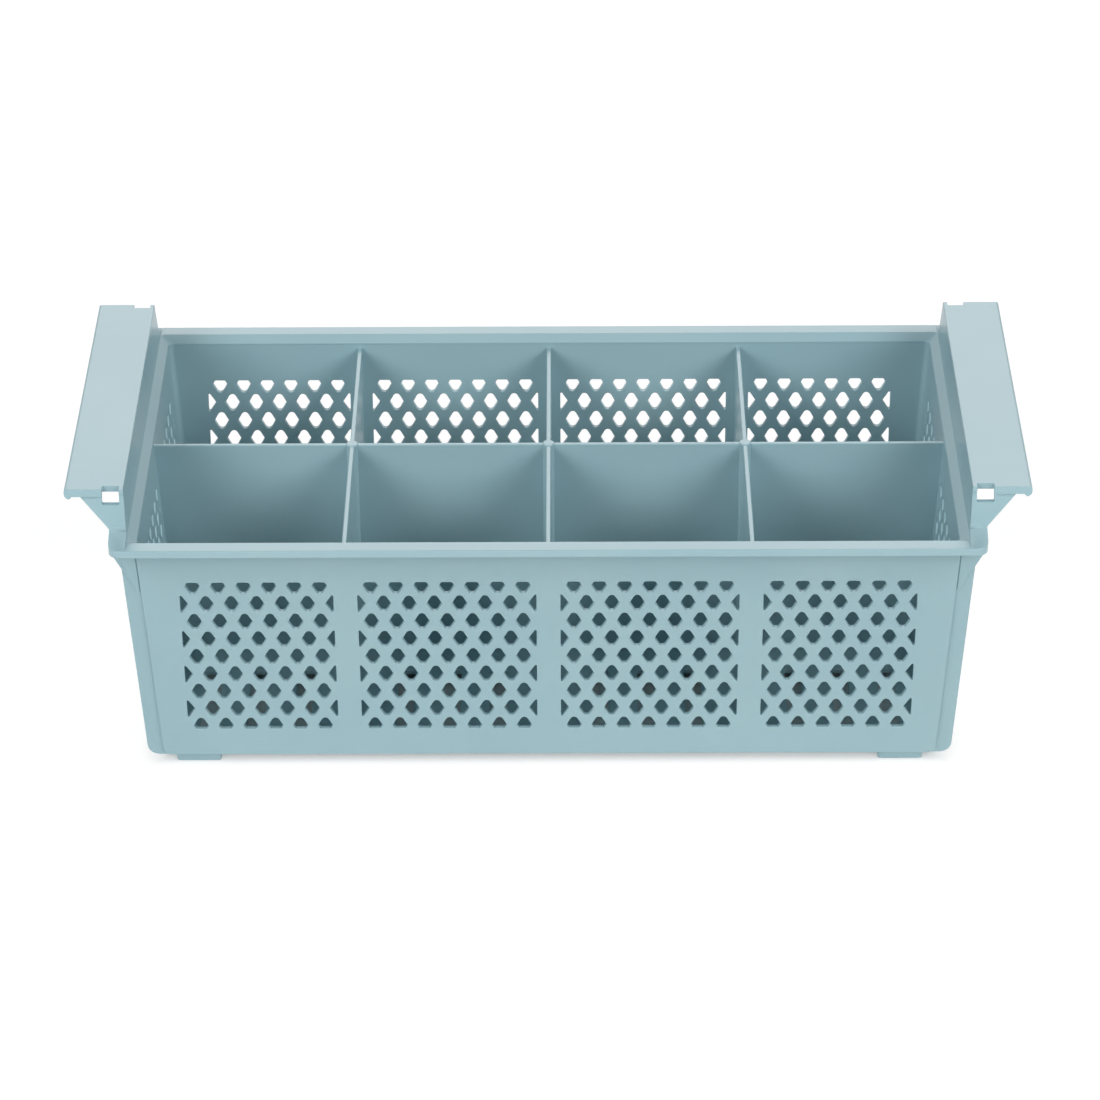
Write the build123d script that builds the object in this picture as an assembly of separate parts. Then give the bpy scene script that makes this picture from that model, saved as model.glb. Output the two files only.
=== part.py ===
"""Dishwasher cutlery basket: one polypropylene moulding, open at the top.

Four drafted walls pierced by a lattice of lozenge holes stand on a slotted base with four low feet.
Thin ribs part the inside into square compartments and cross at round posts.
A flared rim runs round the mouth, and an open-bottomed grip stands on it at each end.
The frame is the moulding's own: X along the basket, Y across it, Z up from the floor it stands on.
"""
import os
from math import atan2, cos, degrees, radians, tan

from build123d import *

# Driving dimensions, in millimetres and degrees

# Compartments, on one square pitch
cell = 92.0
cells_long = 4
cells_deep = 2
end_margin = 1.0
side_margin = 0.5
rib = 2.1
rib_below_rim = 5.5
post_diameter = 5.6

# Shell
rim_height = 126.2
draft = 3.3
wall = 2.4
base = 2.5

# Rim: a flare round the mouth, then a flat band with a thick edge
flare_width = 4.1
flare_depth = 2.7
rim_width = 7.8
rim_thickness = 3.5
rim_corner = 5.0
rim_edge_round = 1.2

# Lozenge holes in the walls, in rows that alternate by half a pitch
hole_pitch = 11.5
row_pitch = 9.9
hole_width = 6.6
hole_height = 9.6
panel_foot = 17.3
panel_head = 20.0
panel_from_rib = 11.5
panel_from_end = 23.0

# Corner fins: each long wall runs on past the end walls under a slanted web,
# and both are set back from its raised face
face_margin = 1.5
fin_reach = 5.8
fin_setback = 1.0
fin_thickness = 2.0
fin_round = 5.0
web_setback = 0.5
web_height = 24.0
web_foot = 1.2
web_lean = 26.5
web_from_rim_edge = 0.5

# Grips at the two ends, each a channel that is open below
grip_rise = 22.0
grip_reach = 19.9
grip_plate = 3.0
grip_wall = 2.0
grip_lean = 1.0
grip_half_span = 85.8
grip_end_lean = 17.0
grip_edge_round = 1.0
lip_drop = 4.8
lip_thickness = 3.0
cheek_thickness = 2.4
cheek_top_reach = 13.2
step_rise = 4.0
step_width = 3.0

# Square window through each cheek, open at the top of the grip
window_width = 7.8
window_height = 7.2
window_notch = 2.5

# Feet
foot_height = 5.0
foot_length = 20.5
foot_depth = 14.0
foot_from_end = 7.5
foot_from_side = 1.5

# Drain slots in the base of each compartment
slots_per_cell = 3
slot_width = 8.0
slot_length = 50.0
slot_pitch = 22.0

# Sizes that follow
slope = tan(radians(draft))
mouth_length = cells_long * cell + 2 * end_margin
mouth_depth = cells_deep * cell + 2 * side_margin
shell_length = mouth_length + 2 * wall
shell_depth = mouth_depth + 2 * wall
inner_rim_length = mouth_length + 2 * flare_width
inner_rim_depth = mouth_depth + 2 * flare_width
rim_length = inner_rim_length + 2 * rim_width
rim_depth = inner_rim_depth + 2 * rim_width
flare_z = rim_height - flare_depth
flare_angle = degrees(atan2(flare_width, flare_depth))
rim_under_z = rim_height - rim_thickness
floor_z = foot_height + base
rib_top_z = rim_height - rib_below_rim
grip_z = rim_height + grip_rise
base_shrink = (flare_z - foot_height) * slope
through = shell_depth


def drafted(length, depth, low, high):
    """Block with four sides that lean out by the draft; its length and depth are as at the flare's foot."""
    shrink = 2 * (flare_z - low) * slope
    plan = Pos(0, 0, low) * Rectangle(length - shrink, depth - shrink)
    return extrude(plan, amount=high - low, taper=-draft)


def slab(plan, low, high):
    """Plan drawn on the floor plane, raised between two heights."""
    return extrude(Pos(0, 0, low) * plan, amount=high - low)


def long_plates(length, depth, thickness):
    """Front and back plates that lean with the long walls; depth is over their outer faces."""
    block = drafted(length, depth, foot_height, flare_z)
    gap = drafted(length + through, depth - 2 * thickness, foot_height, flare_z)
    return block, gap


def dividers():
    """Crossed ribs with a round post at each crossing, let half a wall deep into the walls."""
    plan = Rectangle(mouth_length + wall, rib)
    for i in range(1, cells_long):
        crossing = Pos((i - cells_long / 2) * cell, 0)
        plan += crossing * Rectangle(rib, mouth_depth + wall)
        plan += crossing * Circle(post_diameter / 2)
    inside = drafted(mouth_length + wall, mouth_depth + wall, foot_height, flare_z)
    return slab(plan, foot_height, rib_top_z) & inside


def rim():
    """Band round the top, still without the mouth."""
    band = slab(RectangleRounded(rim_length, rim_depth, rim_corner), rim_under_z, rim_height)
    return fillet(band.edges().group_by(Axis.Z)[-1], rim_edge_round)


def mouth():
    """Inside of the walls, which opens out into the flare."""
    opening = Pos(0, 0, flare_z) * Rectangle(mouth_length, mouth_depth)
    flare = extrude(opening, amount=flare_depth, taper=-flare_angle)
    return [drafted(mouth_length, mouth_depth, floor_z, flare_z), flare]


def shell():
    """Drafted block of the four walls and the base, with a raised face on each long side, still solid."""
    core = drafted(shell_length, shell_depth - 2 * fin_setback, foot_height, flare_z)
    return core + drafted(shell_length - 2 * face_margin, shell_depth, foot_height, flare_z)


def corner_fins():
    """Long walls run on past the ends, with their lower corners rounded."""
    block, gap = long_plates(shell_length + 2 * fin_reach, shell_depth - 2 * fin_setback, fin_thickness)
    corners = block.edges().filter_by(Axis.Y).group_by(Axis.Z)[0]
    return fillet(corners, fin_round) - gap


def corner_webs():
    """Webs that slant out under the rim's corners, between the raised faces and the fins."""
    thickness = fin_setback - web_setback + fin_thickness
    block, gap = long_plates(rim_length + through, shell_depth - 2 * web_setback, thickness)
    inner_x = mouth_length / 2
    tip_x, tip_z = inner_x + web_foot, rim_under_z - web_height
    outer_x = rim_length / 2 - web_from_rim_edge
    outer_z = tip_z + (outer_x - tip_x) / tan(radians(web_lean))
    outline = Polygon(
        (inner_x, tip_z), (tip_x, tip_z), (outer_x, outer_z), (outer_x, rim_under_z),
        (inner_x, rim_under_z),
        align=None,
    )
    prism = extrude(Plane.XZ * outline, amount=through, both=True)
    return (block & (prism + mirror(prism, Plane.YZ))) - gap


def feet():
    """Four low pads, set in from the base's edges."""
    x = shell_length / 2 - base_shrink - foot_from_end - foot_length / 2
    y = shell_depth / 2 - base_shrink - foot_from_side - foot_depth / 2
    pads = [Pos(i * x, j * y) * Rectangle(foot_length, foot_depth) for i in (-1, 1) for j in (-1, 1)]
    return slab(Sketch() + pads, 0, foot_height)


def cheek_wedge(half_span):
    """Block across the basket with both ends leaning in, half_span to each side at the grip's top."""
    low_z = rim_under_z - wall
    spread = (grip_z - low_z) * tan(radians(grip_end_lean))
    outline = Polygon(
        (-half_span - spread, low_z), (half_span + spread, low_z),
        (half_span, grip_z), (-half_span, grip_z),
        align=None,
    )
    return extrude(Plane.YZ * outline, amount=rim_length)


def end_grip():
    """Grip at the +X end: inner wall, top plate with a turned-down lip, and two cheeks with windows.

    Comes with the space that it leaves under its plate, which goes down through the rim.
    """
    root_x = inner_rim_length / 2
    top_x = root_x + grip_lean
    edge_x = rim_length / 2
    far_x = edge_x + grip_reach
    lip_x = far_x - lip_thickness
    plate_z = grip_z - grip_plate
    lip_z = grip_z - lip_drop
    step_z = rim_height + step_rise
    section = Polygon(
        (root_x, rim_height), (top_x, grip_z), (far_x, grip_z), (far_x, lip_z),
        (lip_x, lip_z), (lip_x, plate_z), (edge_x + cheek_top_reach, plate_z),
        (edge_x, step_z), (edge_x - rim_edge_round, rim_height),
        align=None,
    )
    section = fillet(section.vertices().group_by(Axis.X)[-1], grip_edge_round)
    grip = extrude(Plane.XZ * section, amount=through, both=True) & cheek_wedge(grip_half_span)

    below_z = rim_under_z - wall
    space = Polygon(
        (root_x + grip_wall, below_z), (root_x + grip_wall, rim_height), (top_x + grip_wall, plate_z),
        (lip_x, plate_z), (lip_x, below_z),
        align=None,
    )
    between_cheeks = cheek_wedge(grip_half_span - cheek_thickness)
    channel = extrude(Plane.XZ * space, amount=through, both=True) & between_cheeks

    window_x = top_x + grip_wall + window_width / 2
    window = Box(window_width, 2 * through, 2 * window_height)
    window -= Box(window_width, 2 * (grip_half_span - window_notch), 2 * window_height)
    grip += grip_steps(root_x, edge_x, step_z)
    grip -= [channel, Pos(window_x, 0, grip_z) * window]
    return grip, channel


def grip_steps(inner_x, edge_x, step_z):
    """Sloped blocks from the foot of each cheek down to the rim's long edges, within the rim's plan."""
    foot_y = grip_half_span + (grip_z - step_z) * tan(radians(grip_end_lean))
    slope_y = foot_y + step_width
    outline = Polygon(
        (foot_y - cheek_thickness, rim_under_z), (rim_depth / 2, rim_under_z), (rim_depth / 2, rim_height),
        (slope_y, step_z), (foot_y - cheek_thickness, step_z),
        align=None,
    )
    block = Pos(inner_x, 0, 0) * extrude(Plane.YZ * outline, amount=edge_x - inner_x)
    plan = slab(RectangleRounded(rim_length, rim_depth, rim_corner), rim_under_z, step_z)
    return (block + mirror(block, Plane.XZ)) & plan


def panel_centres(cells):
    """Centres of the whole holes along and up a wall of so many cells, in rows that alternate.

    The half holes that a lattice leaves along a panel's border are closed.
    """
    rise = row_pitch * cos(radians(draft))
    rows = int((rim_under_z - foot_height - panel_foot - panel_head) // rise)
    centres = []
    for index in range(cells):
        before = panel_from_rib if index > 0 else panel_from_end
        after = panel_from_rib if index < cells - 1 else panel_from_end
        room = cell - before - after
        columns = int(room // hole_pitch) + 1
        first = (index - cells / 2) * cell + before + (room - (columns - 1) * hole_pitch) / 2
        for row in range(1, rows):
            odd = row % 2
            height = foot_height + panel_foot + row * rise
            centres += [(first + (k + odd / 2) * hole_pitch, height) for k in range(columns - odd)]
    return centres


def wall_holes():
    """Lozenge prisms through the four walls, each wall's own, so that no rib is cut."""
    tip_x, tip_z = hole_width / 2, hole_height / 2
    lozenge = Polygon((-tip_x, 0), (0, -tip_z), (tip_x, 0), (0, tip_z), align=None)
    long_plane = Plane.XZ.offset(mouth_depth / 2 - cell / 2)
    end_plane = Plane.YZ.offset(mouth_length / 2 - cell / 2)
    front = [extrude(long_plane * Pos(*c) * lozenge, amount=cell) for c in panel_centres(cells_long)]
    right = [extrude(end_plane * Pos(*c) * lozenge, amount=cell) for c in panel_centres(cells_deep)]
    back = [mirror(hole, Plane.XZ) for hole in front]
    left = [mirror(hole, Plane.YZ) for hole in right]
    return front + back + right + left


def drain_slots():
    """Straight slots through the base, a short row in each compartment."""
    slots = []
    for i in range(cells_long):
        for j in range(cells_deep):
            middle = Pos((i + 0.5 - cells_long / 2) * cell, (j + 0.5 - cells_deep / 2) * cell, floor_z)
            for k in range(slots_per_cell):
                offset = (k - (slots_per_cell - 1) / 2) * slot_pitch
                slots.append(middle * Pos(offset, 0) * Box(slot_width, slot_length, 3 * base))
    return slots


def basket():
    """Whole moulding: solid forms first, then the mouth, the ribs and the holes."""
    grip, channel = end_grip()
    body = shell() + corner_fins() + corner_webs() + rim()
    body -= [channel, mirror(channel, Plane.YZ)]
    body += [grip, mirror(grip, Plane.YZ), feet()]
    body -= mouth()
    body += dividers()
    return body - (drain_slots() + wall_holes())


os.makedirs("parts", exist_ok=True)
export_step(basket(), "parts/basket.step")
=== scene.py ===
"""Dishwasher cutlery basket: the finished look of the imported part, with its studio floor, light and camera.

The basket is one polypropylene moulding, so it is one piece here as well.
Its solid forms come first, with their rounded edges: walls, raised faces, corner fins and webs,
rim, feet and grips.
Then the inside is cut out, the ribs and posts go in, and the drain slots and the lattice of holes are cut.
Lengths are millimetres in the part's own frame, until the finished mesh is scaled to metres.
"""
from math import cos, pi, radians, sin, tan

import bmesh
import bpy
from mathutils import Matrix, Vector


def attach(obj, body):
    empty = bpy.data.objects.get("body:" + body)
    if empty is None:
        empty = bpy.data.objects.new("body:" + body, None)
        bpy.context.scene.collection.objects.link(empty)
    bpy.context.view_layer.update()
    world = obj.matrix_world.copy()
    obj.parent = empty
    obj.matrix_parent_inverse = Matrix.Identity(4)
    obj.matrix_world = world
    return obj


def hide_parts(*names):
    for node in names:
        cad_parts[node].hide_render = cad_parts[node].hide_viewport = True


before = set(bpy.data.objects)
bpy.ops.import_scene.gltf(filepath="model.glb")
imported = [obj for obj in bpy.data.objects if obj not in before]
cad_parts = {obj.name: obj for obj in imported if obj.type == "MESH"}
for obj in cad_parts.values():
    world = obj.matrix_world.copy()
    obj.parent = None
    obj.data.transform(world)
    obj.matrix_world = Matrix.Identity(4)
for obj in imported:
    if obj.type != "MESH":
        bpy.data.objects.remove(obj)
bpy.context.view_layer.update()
METRES = 0.001

# Sizes that the looks share with the solid

CELL = 92.0
CELLS_LONG = 4
CELLS_DEEP = 2
DRAFT = radians(3.3)
WALL = 2.4
FOOT_Z = 5.0
FLOOR_Z = 7.5
FLARE_Z = 123.5
RIM_UNDER_Z = 122.7
RIM_Z = 126.2
RIB_Z = 120.7
GRIP_Z = 148.2
MOUTH = Vector((185.0, 92.5))
SHELL = Vector((187.4, 94.9))
INNER_RIM = Vector((189.1, 96.6))
RIM = Vector((196.9, 104.4))
FLARE = 4.1
RAISED = 1.0
FIN_REACH = 5.8
RIB = 2.1
POST = 5.6
CHEEK_LEAN = tan(radians(17.0))
GRIP_HALF_SPAN = 85.8
FAR_X = 216.8
LIP_X = 213.8
PLATE_Z = 145.2
STEP_Z = 130.2
BURIED_Z = 124.2
CHEEK = 2.4
WINDOW_HALF_WIDTH = 3.9
WINDOW_DEPTH = 7.2
FACE_INSET = 1.5
WEB_HEIGHT = 24
WEB_SPREAD = radians(26.5)
RIM_CORNER = 5.0
SLOT_PITCH = 22.0
SLOT_HALF = (4.0, 25.0)

# Edge rounds and small relief in which the looks go beyond the solid

RIM_ROUND = 0.6
EDGE_ROUND = 0.5
SOFT_EDGE = 0.35
FLOOR_ROUND = 1.5
LIP_DRAFT = radians(8.0)
LIP_DROP = 4.3
PLATE_PROUD = 0.8
POST_PROUD = 0.5
WEB_RECESS = 0.8
GROOVE = 0.45
FOOT_PLACE = (163.2, 79.0)
FOOT_HALF = (10.5, 7.4)
FOOT_TAPER = (0.03, 0.2)
SLOT_CORNER = 1.5


def lean(z):
    """How far the walls stand in from their place at the flare's foot."""
    return (FLARE_Z - z) * tan(DRAFT)


def rounded(corners):
    """Flat outline through corners (u, v, radius, steps), each rounded by an arc of so many steps."""
    points = []
    for k, (u, v, radius, steps) in enumerate(corners):
        here = Vector((u, v))
        if radius == 0:
            points.append(here)
            continue
        before = (Vector(corners[k - 1][:2]) - here).normalized()
        after = (Vector(corners[(k + 1) % len(corners)][:2]) - here).normalized()
        half = before.angle(after) / 2
        centre = here + (before + after).normalized() * radius / sin(half)
        first = here + before * radius / tan(half) - centre
        side = 1 if after.cross(before) > 0 else -1
        for step in range(steps + 1):
            turn = side * (pi - 2 * half) * step / steps
            points.append(centre + Matrix.Rotation(turn, 2) @ first)
    return points


def quarter(radius, steps=4):
    """Way round an edge of that radius, from its side to its face, as pairs of (in, up)."""
    angles = [k * pi / 2 / steps for k in range(steps + 1)]
    return [(radius * (1 - cos(angle)), radius * sin(angle)) for angle in angles]


def plan_ring(half, corner, z, steps=6):
    """Rounded rectangle at one height."""
    outline = rounded([(sx * half[0], sy * half[1], corner, steps)
                       for sx, sy in ((-1, -1), (1, -1), (1, 1), (-1, 1))])
    return [(x, y, z) for x, y in outline]


def add_loft(bm, rings):
    """Closed skin through a stack of rings with as many points each; gives back its two end faces."""
    loops = [[bm.verts.new(point) for point in ring] for ring in rings]
    for low, high in zip(loops, loops[1:]):
        for k in range(len(low)):
            bm.faces.new((low[k - 1], low[k], high[k], high[k - 1]))
    return bm.faces.new(loops[0][::-1]), bm.faces.new(loops[-1])


def solid(name, bm):
    """Object made of a closed mesh, with its faces turned outwards."""
    bmesh.ops.recalc_face_normals(bm, faces=bm.faces)
    mesh = bpy.data.meshes.new(name)
    bm.to_mesh(mesh)
    bm.free()
    made = bpy.data.objects.new(name, mesh)
    bpy.context.scene.collection.objects.link(made)
    return made


def settle(made):
    """Makes an object's modifiers part of its mesh."""
    depsgraph = bpy.context.evaluated_depsgraph_get()
    settled = bpy.data.meshes.new_from_object(made.evaluated_get(depsgraph))
    made.modifiers.clear()
    made.data = settled


def carve(target, tool, operation):
    """Joins tool to target, cuts it away, or keeps what both share; the tool is used up."""
    change = target.modifiers.new("carve", "BOOLEAN")
    change.operation = operation
    change.solver = "MANIFOLD"
    change.object = tool
    settle(target)
    bpy.data.objects.remove(tool)


def mirrored(source, axis):
    """Copy of a form on the other side of the basket."""
    flip = Vector((1, 1, 1))
    flip[axis] = -1
    bm = bmesh.new()
    bm.from_mesh(source.data)
    bmesh.ops.transform(bm, matrix=Matrix.Diagonal(flip).to_4x4(), verts=bm.verts)
    return solid(source.name + "_other", bm)


def block(name, half, corner, low, high, low_round, high_round, slope=(0, 0), level=0, centre=(0, 0)):
    """Block with rounded corners and edges.

    Its half size is given at one level, and it slopes in by so much for each millimetre below that.
    """
    levels = [(inset, low + low_round - up) for inset, up in reversed(quarter(low_round))]
    levels += [(inset, high - high_round + up) for inset, up in quarter(high_round)]
    rings = []
    for inset, z in levels:
        shrink = Vector(slope) * (level - z) + Vector((inset, inset))
        ring = plan_ring(Vector(half) - shrink, max(corner - inset, 0.05), z)
        rings.append([(x + centre[0], y + centre[1], z) for x, y, z in ring])
    bm = bmesh.new()
    add_loft(bm, rings)
    return solid(name, bm)


def leaning_plate(name, outline, outer, inner, edge):
    """Plate in the front wall, drawn from the front, with its two faces placed as at the flare's foot."""
    bm = bmesh.new()
    face, back = add_loft(bm, [[(x, lean(z) - y, z) for x, z in outline] for y in (outer, inner)])
    rims = list({rim for end in (face, back) for rim in end.edges})
    bmesh.ops.bevel(bm, geom=rims, offset=edge, segments=3, profile=0.5, affect="EDGES")
    return solid(name, bm)


def outer_walls():
    """Solid block of the walls, with a fin plate, a raised face and two webs on each long side."""
    walls = block("walls", SHELL - Vector((0, RAISED + 0.2)), 0.6, FOOT_Z, FLARE_Z - 1, 1.0, 0.1,
                  slope=(tan(DRAFT), tan(DRAFT)), level=FLARE_Z)
    top_z = FLARE_Z - 0.9
    fin_z = FOOT_Z + 0.02
    fin_top, fin_foot = SHELL.x + FIN_REACH - lean(top_z), SHELL.x + FIN_REACH - lean(fin_z)
    fin = rounded([(-fin_foot, fin_z, 5.0, 8), (fin_foot, fin_z, 5.0, 8),
                   (fin_top, top_z, 0, 0), (-fin_top, top_z, 0, 0)])
    face_z = FOOT_Z + 0.45
    face_x = SHELL.x - FACE_INSET
    face_top, face_foot = face_x - lean(top_z), face_x - lean(face_z)
    face = rounded([(-face_foot, face_z, 3.0, 6), (face_foot, face_z, 3.0, 6),
                    (face_top, top_z, 0, 0), (-face_top, top_z, 0, 0)])
    web_x, web_low, web_top = MOUTH.x - 3, RIM_UNDER_Z - WEB_HEIGHT, RIM_UNDER_Z + 1
    tip_x, edge_x = MOUTH.x + 1.2, RIM.x - 0.5
    edge_z = web_low + (edge_x - tip_x) / tan(WEB_SPREAD)
    web = rounded([(web_x, web_low, 0, 0), (tip_x, web_low, 0.5, 3), (edge_x, edge_z, 1.5, 4),
                   (edge_x, web_top, 0, 0), (web_x, web_top, 0, 0)])
    outer = SHELL.y
    plates = [
        leaning_plate("fin", fin, outer - RAISED, outer - RAISED - 2.0, SOFT_EDGE),
        leaning_plate("raised_face", face, outer, outer - 2.0, SOFT_EDGE),
    ]
    for side in (-1, 1):
        outline = [(side * x, z) for x, z in web]
        plates.append(leaning_plate("web", outline, outer - WEB_RECESS, outer - 3.0, 0.3))
        # The web rises to a thin ridge along its free edge
        rings = []
        for width, y in ((0.5, outer - 0.15), (2.0, outer - 0.82), (2.0, outer - 3.0)):
            strip = rounded([
                (tip_x - width, web_low, 0, 0), (tip_x, web_low, 0.5, 3), (edge_x, edge_z, 1.5, 4),
                (edge_x, web_top, 0, 0), (edge_x - width, web_top, 0, 0), (edge_x - width, edge_z, 1.5, 4),
            ])
            rings.append([(side * x, lean(z) - y, z) for x, z in strip])
        bm = bmesh.new()
        add_loft(bm, rings)
        plates.append(solid("ridge", bm))
    for plate in plates + [mirrored(plate, 1) for plate in plates]:
        carve(walls, plate, "UNION")
    # A narrow groove parts each web from the raised face
    groove = [(face_x - lean(z) + across, z) for z, across in
              ((web_low - 1, 0), (web_low - 1, GROOVE), (web_top, GROOVE), (web_top, 0))]
    for outline in (groove, [(-x, z) for x, z in reversed(groove)]):
        cutter = leaning_plate("groove", outline, outer + 1, outer - 1.3, 0.05)
        carve(walls, mirrored(cutter, 1), "DIFFERENCE")
        carve(walls, cutter, "DIFFERENCE")
    return walls


def rim_band():
    """Flat band round the mouth; the thick edge of its long sides leans back a little."""
    return block("band", RIM, RIM_CORNER, RIM_UNDER_Z, RIM_Z, EDGE_ROUND, RIM_ROUND,
                 slope=(0, -tan(LIP_DRAFT)), level=RIM_UNDER_Z)


def foot(side_x, side_y):
    """Low pad under one corner of the base."""
    centre = (side_x * FOOT_PLACE[0], side_y * FOOT_PLACE[1])
    return block("foot", FOOT_HALF, 1.5, 0, FOOT_Z + 1, 0.6, 0.1,
                 slope=FOOT_TAPER, level=FOOT_Z, centre=centre)


def cheek_y(z):
    """Half the grip's span at a height, between cheeks that lean in."""
    return GRIP_HALF_SPAN + (GRIP_Z - z) * CHEEK_LEAN


def grip_prism(name, section, inset, edge):
    """Prism along the grip with both ends leaning, drawn by its section (x, z)."""
    bm = bmesh.new()
    ends = add_loft(bm, [[(x, side * (cheek_y(z) - inset), z) for x, z in section] for side in (-1, 1)])
    rims = list({rim for end in ends for rim in end.edges})
    bmesh.ops.bevel(bm, geom=rims, offset=edge, segments=2, profile=0.5, affect="EDGES")
    return solid(name, bm)


def grip_space():
    """Open space under the right grip's plate, which goes down through the rim between the cheeks."""
    wall_x, low_z = INNER_RIM.x + 2.0, RIM_UNDER_Z - WALL
    section = rounded([
        (wall_x, low_z, 0, 0), (LIP_X, low_z, 0, 0), (LIP_X, PLATE_Z, 0.5, 3),
        (wall_x + 1.0, PLATE_Z, 1.0, 3), (wall_x, RIM_Z, 0, 0),
    ])
    return grip_prism("space", section, CHEEK, 0.8)


def grip_step():
    """Sloped block from the foot of the right grip's front cheek to the rim's long edge."""
    foot_y, strip_z, end_y = cheek_y(STEP_Z), STEP_Z + 1.1, 1.1 - RIM.y
    outline = rounded([
        (CHEEK - foot_y, BURIED_Z, 0, 0), (CHEEK - foot_y, strip_z, 0, 0), (-cheek_y(strip_z), strip_z, 0, 0),
        (-foot_y - 1.9, STEP_Z - 0.2, 0.6, 3), (end_y, RIM_Z, 0, 0), (end_y, BURIED_Z, 0, 0),
    ])
    bm = bmesh.new()
    inner, _ = add_loft(bm, [[(x, y, z) for y, z in outline] for x in (INNER_RIM.x, RIM.x)])
    bmesh.ops.bevel(bm, geom=inner.edges[:], offset=0.7, segments=3, profile=0.5, affect="EDGES")
    step = solid("step", bm)
    carve(step, block("plan", RIM, RIM_CORNER, BURIED_Z - 1, strip_z + 1, 0.1, 0.1), "INTERSECT")
    return step


def end_grip():
    """Grip over the rim's right end: a wall, a plate with a turned-down lip, and two cheeks with windows."""
    root_x, top_x = INNER_RIM.x, INNER_RIM.x + 1.0
    lip_z = GRIP_Z - LIP_DROP
    lip = [(LIP_X, PLATE_Z, 0.5, 3), (LIP_X, lip_z, 0.6, 3), (FAR_X, lip_z, 2.2, 6), (FAR_X, GRIP_Z, 1.0, 4)]
    grip = grip_prism("grip", rounded([
        (root_x + 0.3, BURIED_Z, 0, 0), (RIM.x - 1.2, BURIED_Z, 0, 0), (RIM.x - 1.2, RIM_Z, 0, 0),
        (RIM.x, STEP_Z, 0.5, 3), (RIM.x + 13.2, PLATE_Z, 0.8, 3), *lip,
        (top_x, GRIP_Z, EDGE_ROUND, 3), (root_x, RIM_Z, 0, 0),
    ]), 0, EDGE_ROUND)
    carve(grip, grip_space(), "DIFFERENCE")
    # The plate's ends stand a little proud of the cheeks
    plate = rounded([
        (top_x + 3.0, PLATE_Z, 0.5, 3), *lip,
        (top_x, GRIP_Z, EDGE_ROUND, 3), (top_x, PLATE_Z + 1, 0, 0),
    ])
    carve(grip, grip_prism("plate", plate, -PLATE_PROUD, 0.3), "UNION")
    for side in (-1, 1):
        middle = (root_x + 6.9, side * (GRIP_HALF_SPAN - 2.5 + 10))
        window = block("window", (WINDOW_HALF_WIDTH, 10.0), 0.4, GRIP_Z - WINDOW_DEPTH, GRIP_Z + 2, 0.4, 0.1,
                       centre=middle)
        carve(grip, window, "DIFFERENCE")
    step = grip_step()
    carve(grip, mirrored(step, 1), "UNION")
    carve(grip, step, "UNION")
    return grip


def inside():
    """What the core of the mould fills: the drafted compartments, and the flare that they open into."""
    profile = rounded([
        (-80, FLOOR_Z, 0, 0), (-lean(FLOOR_Z), FLOOR_Z, FLOOR_ROUND, 4), (0, FLARE_Z, 0.8, 4),
        (FLARE, RIM_Z, 0.4, 4), (FLARE + 2, RIM_Z, 0, 0), (FLARE + 2, GRIP_Z, 0, 0),
    ])[1:-2]
    profile.append(profile[-1] + Vector((0, 1)))
    rings = []
    for out, z in profile:
        # Only the long sides round over into the band; at the ends the flare stops at the grip's wall
        out_x = out if z < FLARE_Z + 1 else min(out, FLARE * (z - FLARE_Z) / (RIM_Z - FLARE_Z), FLARE - 0.03)
        rings.append(plan_ring(MOUTH + Vector((out_x, out)), 2.5, z))
    bm = bmesh.new()
    add_loft(bm, rings)
    return solid("inside", bm)


def rib_between(name, reach, across):
    """Rib from wall to wall with a rounded top, let half a wall deep into both, at a place across them."""
    low_z = FLOOR_Z - 1
    section = rounded([(-RIB / 2, low_z, 0, 0), (RIB / 2, low_z, 0, 0),
                       (RIB / 2, RIB_Z, 0.45, 4), (-RIB / 2, RIB_Z, 0.45, 4)])
    ends = []
    for side in (-1, 1):
        ends.append([(side * (reach + WALL / 2 - lean(z)), across + y, z) for y, z in section])
    bm = bmesh.new()
    add_loft(bm, ends)
    return solid(name, bm)


def ribs_and_posts():
    """Crossed ribs, with a round post at each crossing."""
    ribs = rib_between("ribs", MOUTH.x, 0)
    for k in range(1, CELLS_LONG):
        x = (k - CELLS_LONG / 2) * CELL
        rib = rib_between("rib", MOUTH.y, -x)
        rib.data.transform(Matrix.Rotation(pi / 2, 4, "Z"))
        carve(ribs, rib, "UNION")
        post = block("post", (POST / 2, POST / 2), POST / 2 - 0.05,
                     FLOOR_Z - 0.9, RIB_Z + POST_PROUD, 0.1, 0.6, centre=(x, 0))
        carve(ribs, post, "UNION")
    return ribs


def drain_slots():
    """Cutters for the slots in the base, three to a compartment."""
    levels = ((FOOT_Z - 0.15, 0.5), (FOOT_Z + 0.35, 0), (FLOOR_Z - 0.35, 0), (FLOOR_Z + 0.15, 0.5))
    slots = bmesh.new()
    for i in range(CELLS_LONG):
        for j in range(CELLS_DEEP):
            for k in (-1, 0, 1):
                x = (i + 0.5 - CELLS_LONG / 2) * CELL + k * SLOT_PITCH
                y = (j + 0.5 - CELLS_DEEP / 2) * CELL
                rings = []
                for z, grow in levels:
                    half = (SLOT_HALF[0] + grow, SLOT_HALF[1] + grow)
                    ring = plan_ring(half, SLOT_CORNER + grow, z, steps=4)
                    rings.append([(x + u, y + v, w) for u, v, w in ring])
                add_loft(slots, rings)
    return solid("slots", slots)


# The lattice of holes: lozenges with well rounded tips, in rows that alternate by half a pitch
HOLE_PITCH = 11.5
ROW_PITCH = 9.9
ROWS = 9
LOWEST_ROW_Z = 22.05
HALF_WIDTH = 3.5
HALF_HEIGHT = HALF_WIDTH * tan(radians(61.5))
TIP_ROUND = 1.8
SIDE_ROUND = 0.4
FLAT_FROM_CENTRE = 2.0
HALF_FROM_CENTRE = 0.3
RIB_MARGIN = 11.5
CORNER_MARGIN = 23.0


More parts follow.
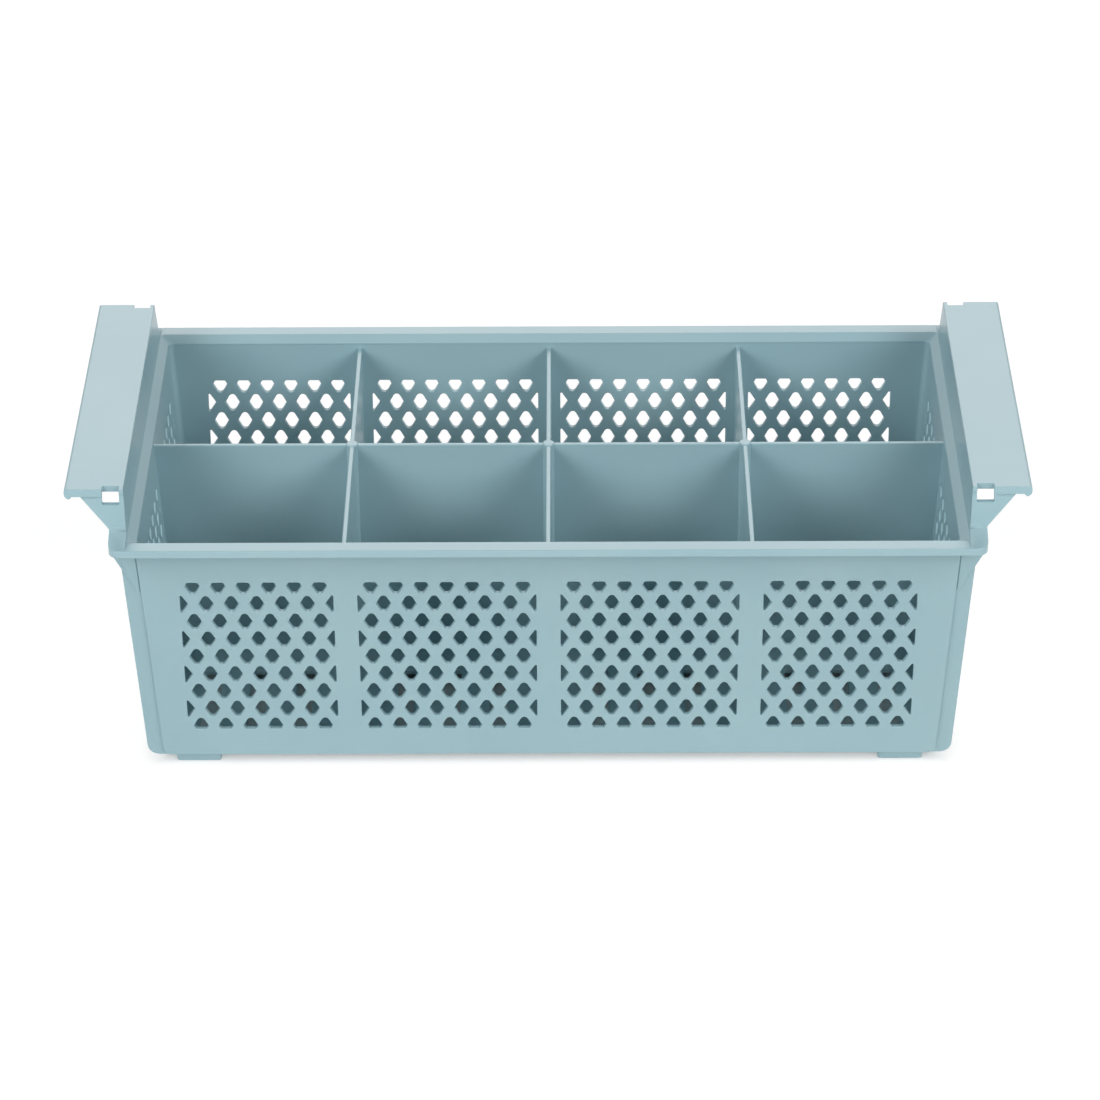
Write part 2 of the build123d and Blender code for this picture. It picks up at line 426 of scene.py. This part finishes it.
def hole_outlines():
    """Whole lozenge, the two that the panel's lower and upper borders cut flat, and the two side halves."""
    right, left = (HALF_WIDTH, 0, SIDE_ROUND, 2), (-HALF_WIDTH, 0, SIDE_ROUND, 2)
    top, bottom = (0, HALF_HEIGHT, TIP_ROUND, 5), (0, -HALF_HEIGHT, TIP_ROUND, 5)
    flat_x = HALF_WIDTH * (1 - FLAT_FROM_CENTRE / HALF_HEIGHT)
    half_y = HALF_HEIGHT * (1 - HALF_FROM_CENTRE / HALF_WIDTH)
    flat = [(-flat_x, -FLAT_FROM_CENTRE, 0.5, 3), (flat_x, -FLAT_FROM_CENTRE, 0.5, 3)]
    side = [(-HALF_FROM_CENTRE, -half_y, 0.5, 4), right, (-HALF_FROM_CENTRE, half_y, 0.5, 4)]
    return {
        "whole": rounded([bottom, right, top, left]),
        "low": rounded([*flat, right, top, left]),
        "high": [Vector((u, -v)) for u, v in reversed(rounded([*flat, right, top, left]))],
        "left": rounded(side),
        "right": [Vector((-u, v)) for u, v in reversed(rounded(side))],
    }


def swollen(outline, by):
    """Outline grown all round by a distance."""
    grown = []
    for k, point in enumerate(outline):
        before = (point - outline[k - 1]).normalized()
        after = (outline[(k + 1) % len(outline)] - point).normalized()
        outward = Vector((before.y + after.y, -before.x - after.x)).normalized()
        grown.append(point + outward * by / max(outward.dot(Vector((before.y, -before.x))), 0.3))
    return grown


def panel_holes(cells):
    """Kind and place (along, row) of each hole in a wall of so many cells."""
    holes = []
    for cell in range(cells):
        before = RIB_MARGIN if cell > 0 else CORNER_MARGIN
        after = RIB_MARGIN if cell < cells - 1 else CORNER_MARGIN
        columns = round((CELL - before - after) / HOLE_PITCH) + 1
        first = (cell - cells / 2) * CELL + before
        for row in range(ROWS):
            if row % 2:
                places = [first + (k + 0.5) * HOLE_PITCH for k in range(-1, columns)]
                kinds = ["left"] + ["whole"] * (columns - 1) + ["right"]
            else:
                places = [first + k * HOLE_PITCH for k in range(columns)]
                kinds = [{0: "low", ROWS - 1: "high"}.get(row, "whole")] * columns
            holes += [(kind, along, row) for kind, along in zip(kinds, places)]
    return holes


def lattice():
    """Cutters for all the holes, each square to its wall and opening at both faces into a small chamfer."""
    outlines = hole_outlines()
    along = Vector((1, 0, 0))
    up = Vector((0, -sin(DRAFT), cos(DRAFT)))
    out = Vector((0, -cos(DRAFT), -sin(DRAFT)))
    depths = ((0.15, 0.35), (-0.2, 0), (0.2 - WALL, 0), (-0.15 - WALL, 0.35))
    bm = bmesh.new()
    for turn, face, cells in ((0, SHELL.y, CELLS_LONG), (1, SHELL.x, CELLS_DEEP),
                              (2, SHELL.y, CELLS_LONG), (3, SHELL.x, CELLS_DEEP)):
        to_wall = Matrix.Rotation(turn * pi / 2, 3, "Z")
        for kind, place, row in panel_holes(cells):
            z = LOWEST_ROW_Z + row * ROW_PITCH * cos(DRAFT)
            centre = Vector((place, lean(z) - face, z))
            rings = []
            for depth, grow in depths:
                outline = swollen(outlines[kind], grow)
                rings.append([to_wall @ (centre + along * u + up * v + out * depth) for u, v in outline])
            add_loft(bm, rings)
    return solid("lattice", bm)


def build_basket():
    """Whole moulding as one closed mesh, in metres."""
    basket = outer_walls()
    carve(basket, rim_band(), "UNION")
    grip, space = end_grip(), grip_space()
    for form, operation in ((space, "DIFFERENCE"), (grip, "UNION")):
        carve(basket, mirrored(form, 0), operation)
        carve(basket, form, operation)
    for side_x in (-1, 1):
        for side_y in (-1, 1):
            carve(basket, foot(side_x, side_y), "UNION")
    carve(basket, inside(), "DIFFERENCE")
    carve(basket, ribs_and_posts(), "UNION")
    carve(basket, drain_slots(), "DIFFERENCE")
    carve(basket, lattice(), "DIFFERENCE")
    basket.data.transform(Matrix.Diagonal((METRES, METRES, METRES, 1)))
    basket.data.shade_smooth()
    basket.data.set_sharp_from_angle(angle=radians(32))
    # Flat faces keep their own direction, and the rounded edges between them take up all of the turn
    even = basket.modifiers.new("even_normals", "WEIGHTED_NORMAL")
    even.keep_sharp = True
    settle(basket)
    basket.name = "cutlery_basket"
    return basket


# Materials


def linear(colour):
    """Linear colour of an sRGB hex value."""
    parts = [int(colour[k:k + 2], 16) / 255 for k in (1, 3, 5)]
    return tuple(p / 12.92 if p <= 0.04045 else ((p + 0.055) / 1.055) ** 2.4 for p in parts) + (1,)


def per_metre(size):
    """Texture scale for a pattern whose repeats are so many millimetres apart."""
    return 1 / (size * METRES)


def add(tree, kind, sockets, **settings):
    """Adds a node with its settings; each socket takes a value, or another node's output as a link."""
    node = tree.nodes.new("ShaderNode" + kind)
    for name, value in settings.items():
        setattr(node, name, value)
    for name, value in sockets.items():
        if isinstance(value, bpy.types.NodeSocket):
            tree.links.new(value, node.inputs[name])
        else:
            node.inputs[name].default_value = value
    return node


def new_material(name):
    """Material with an empty node tree, and that tree."""
    material = bpy.data.materials.new(name)
    material.use_nodes = True
    material.node_tree.nodes.clear()
    return material, material.node_tree


def moulded_polypropylene():
    """Polypropylene, injection moulded in a lightly spark-eroded mould and coloured all through.

    It gives a pale grey-blue satin: a soft broad sheen, faint clouds where the melt flowed,
    and a fine even grain.
    """
    material, tree = new_material("moulded_polypropylene")
    place = add(tree, "TexCoord", {}).outputs["Object"]
    clouds = add(tree, "TexNoise", {
        "Vector": place, "Scale": per_metre(70), "Detail": 3.0, "Roughness": 0.5,
    })
    tint = add(tree, "ValToRGB", {"Fac": clouds.outputs["Fac"]})
    tint.color_ramp.elements[0].position = 0.3
    tint.color_ramp.elements[0].color = linear("#9bbbc4")
    tint.color_ramp.elements[1].position = 0.7
    tint.color_ramp.elements[1].color = linear("#a1c0c7")
    patches = add(tree, "TexNoise", {
        "Vector": place, "Scale": per_metre(25), "Detail": 2.0, "Roughness": 0.5,
    })
    satin = add(tree, "MapRange", {"Value": patches.outputs["Fac"], "To Min": 0.27, "To Max": 0.30})
    # The grain is about 0.1 mm in the mould; it is drawn at 0.7 mm so that it shows at all
    grain = add(tree, "TexNoise", {
        "Vector": place, "Scale": per_metre(0.7), "Detail": 2.0, "Roughness": 0.5,
    })
    relief = add(tree, "Bump", {"Height": grain.outputs["Fac"], "Strength": 0.02, "Distance": 0.0001})
    plastic = add(tree, "BsdfPrincipled", {
        "Base Color": tint.outputs["Color"], "Roughness": satin.outputs["Result"], "IOR": 1.49,
        "Normal": relief.outputs["Normal"],
    })
    add(tree, "OutputMaterial", {"Surface": plastic.outputs["BSDF"]})
    return material


def white_to_the_eye(tree):
    """One for rays that show a thing to the camera, also in gloss or through glass, and nought for light."""
    path = add(tree, "LightPath", {}).outputs
    seen = path["Is Camera Ray"]
    for ray in ("Is Glossy Ray", "Is Transmission Ray"):
        seen = add(tree, "Math", {0: seen, 1: path[ray]}, operation="MAXIMUM").outputs[0]
    return seen


# Half size, in metres, of the paper that shows only the basket's shadow
SHADED_PAPER = (("X", 0.165), ("Y", 0.068))


def studio_paper():
    """Matt white background paper: it shows white, with a breath of the object's shadow."""
    material, tree = new_material("studio_paper")
    fibres = add(tree, "TexNoise", {"Scale": per_metre(40), "Detail": 3.0})
    tone = add(tree, "ValToRGB", {"Fac": fibres.outputs["Fac"]})
    tone.color_ramp.elements[0].color = linear("#f1f1f0")
    tone.color_ramp.elements[1].color = linear("#f5f5f4")
    matt = add(tree, "BsdfDiffuse", {"Color": tone.outputs["Color"]})
    white = add(tree, "Emission", {"Color": (1, 1, 1, 1), "Strength": 1.2})
    # Under the basket the paper only shows what light reaches it
    place = add(tree, "SeparateXYZ", {"Vector": add(tree, "TexCoord", {}).outputs["Object"]})
    beyond = []
    for axis, reach in SHADED_PAPER:
        distance = add(tree, "Math", {0: place.outputs[axis]}, operation="ABSOLUTE")
        past = add(tree, "Math", {0: distance.outputs[0], 1: reach}, operation="SUBTRACT")
        beyond.append(past.outputs[0])
    clear = add(tree, "Math", {0: beyond[0], 1: beyond[1]}, operation="MAXIMUM").outputs[0]
    shown = add(tree, "MapRange", {"Value": clear, "From Max": 0.03}, interpolation_type="SMOOTHSTEP")
    # Far from the lamps it is all white, so that its edge doesn't show behind the basket
    whiteness = add(tree, "MapRange", {"Value": clear, "From Min": 0.4, "From Max": 1.6, "To Min": 0.72})
    share = white_to_the_eye(tree)
    for part in (shown, whiteness):
        share = add(tree, "Math", {0: share, 1: part.outputs["Result"]}, operation="MULTIPLY").outputs[0]
    paper = add(tree, "MixShader", {0: share, 1: matt.outputs["BSDF"], 2: white.outputs["Emission"]})
    add(tree, "OutputMaterial", {"Surface": paper.outputs["Shader"]})
    return material


# Studio


def studio_floor():
    """Wide sheet of paper under the basket."""
    bm = bmesh.new()
    bmesh.ops.create_grid(bm, x_segments=8, y_segments=8, size=6.0)
    floor = solid("studio_floor", bm)
    # A hair below the feet, so that the two faces don't share a plane
    floor.data.transform(Matrix.Translation((0, 0, -0.0002)))
    floor.data.materials.append(studio_paper())
    return floor


def studio_world():
    """Even white room: white to the camera, and a soft fill from all round."""
    world = bpy.data.worlds.new("studio_room")
    world.use_nodes = True
    tree = world.node_tree
    tree.nodes.clear()
    strength = add(tree, "MapRange", {"Value": white_to_the_eye(tree), "To Min": 0.02, "To Max": 1.0})
    room = add(tree, "Background", {"Color": (1, 1, 1, 1), "Strength": strength.outputs["Result"]})
    add(tree, "OutputWorld", {"Surface": room.outputs["Background"]})
    bpy.context.scene.world = world


def soft_box(name, place, aim, width, height, power, mirrors=True):
    """Soft box at a place, turned to what it lights; mirrors says whether gloss shows it."""
    lamp = bpy.data.lights.new(name, "AREA")
    lamp.shape = "RECTANGLE"
    lamp.size = width
    lamp.size_y = height
    lamp.energy = power
    holder = bpy.data.objects.new(name, lamp)
    holder.location = place
    holder.rotation_euler = (Vector(aim) - Vector(place)).to_track_quat("-Z", "Y").to_euler()
    holder.visible_camera = False
    holder.visible_glossy = mirrors
    bpy.context.scene.collection.objects.link(holder)


def photo_camera():
    """Camera at the photograph's angle, set for a square picture of 1100 x 1100."""
    lens = bpy.data.cameras.new("photo_camera")
    lens.lens = 137.024
    lens.sensor_width = 36.0
    holder = bpy.data.objects.new("photo_camera", lens)
    down, aside, tilt = radians(31.8564), radians(-0.2860), radians(-0.3399)
    turn = Matrix.Rotation(-aside, 4, "Z") @ Matrix.Rotation(pi / 2 - down, 4, "X")
    turn = turn @ Matrix.Rotation(tilt, 4, "Z")
    holder.matrix_world = Matrix.Translation((0.00883, -1.69173, 1.11311)) @ turn
    bpy.context.scene.collection.objects.link(holder)
    bpy.context.scene.camera = holder


basket = build_basket()
basket.data.materials.clear()
basket.data.materials.append(moulded_polypropylene())
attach(basket, "root")
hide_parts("basket")

studio_floor()
studio_world()
for side in (-1, 1):
    # Gloss leaves the front boxes out, so that the flat tops don't glare when they are seen from behind
    soft_box("front_box", (side * 1.25, -1.78, 1.11), (0, 0, 0.1), 1.2, 1.2, 15.3, mirrors=False)
    soft_box("side_box", (side * 1.67, -0.78, 1.64), (0, 0, 0.1), 1.2, 1.2, 21.4)
# The box behind gives the tops their pale sheen
soft_box("back_box", (0, 2.2, 1.42), (0, 0, 0.13), 1.6, 1.0, 13.5)
photo_camera()
bpy.context.scene.view_settings.view_transform = "Standard"
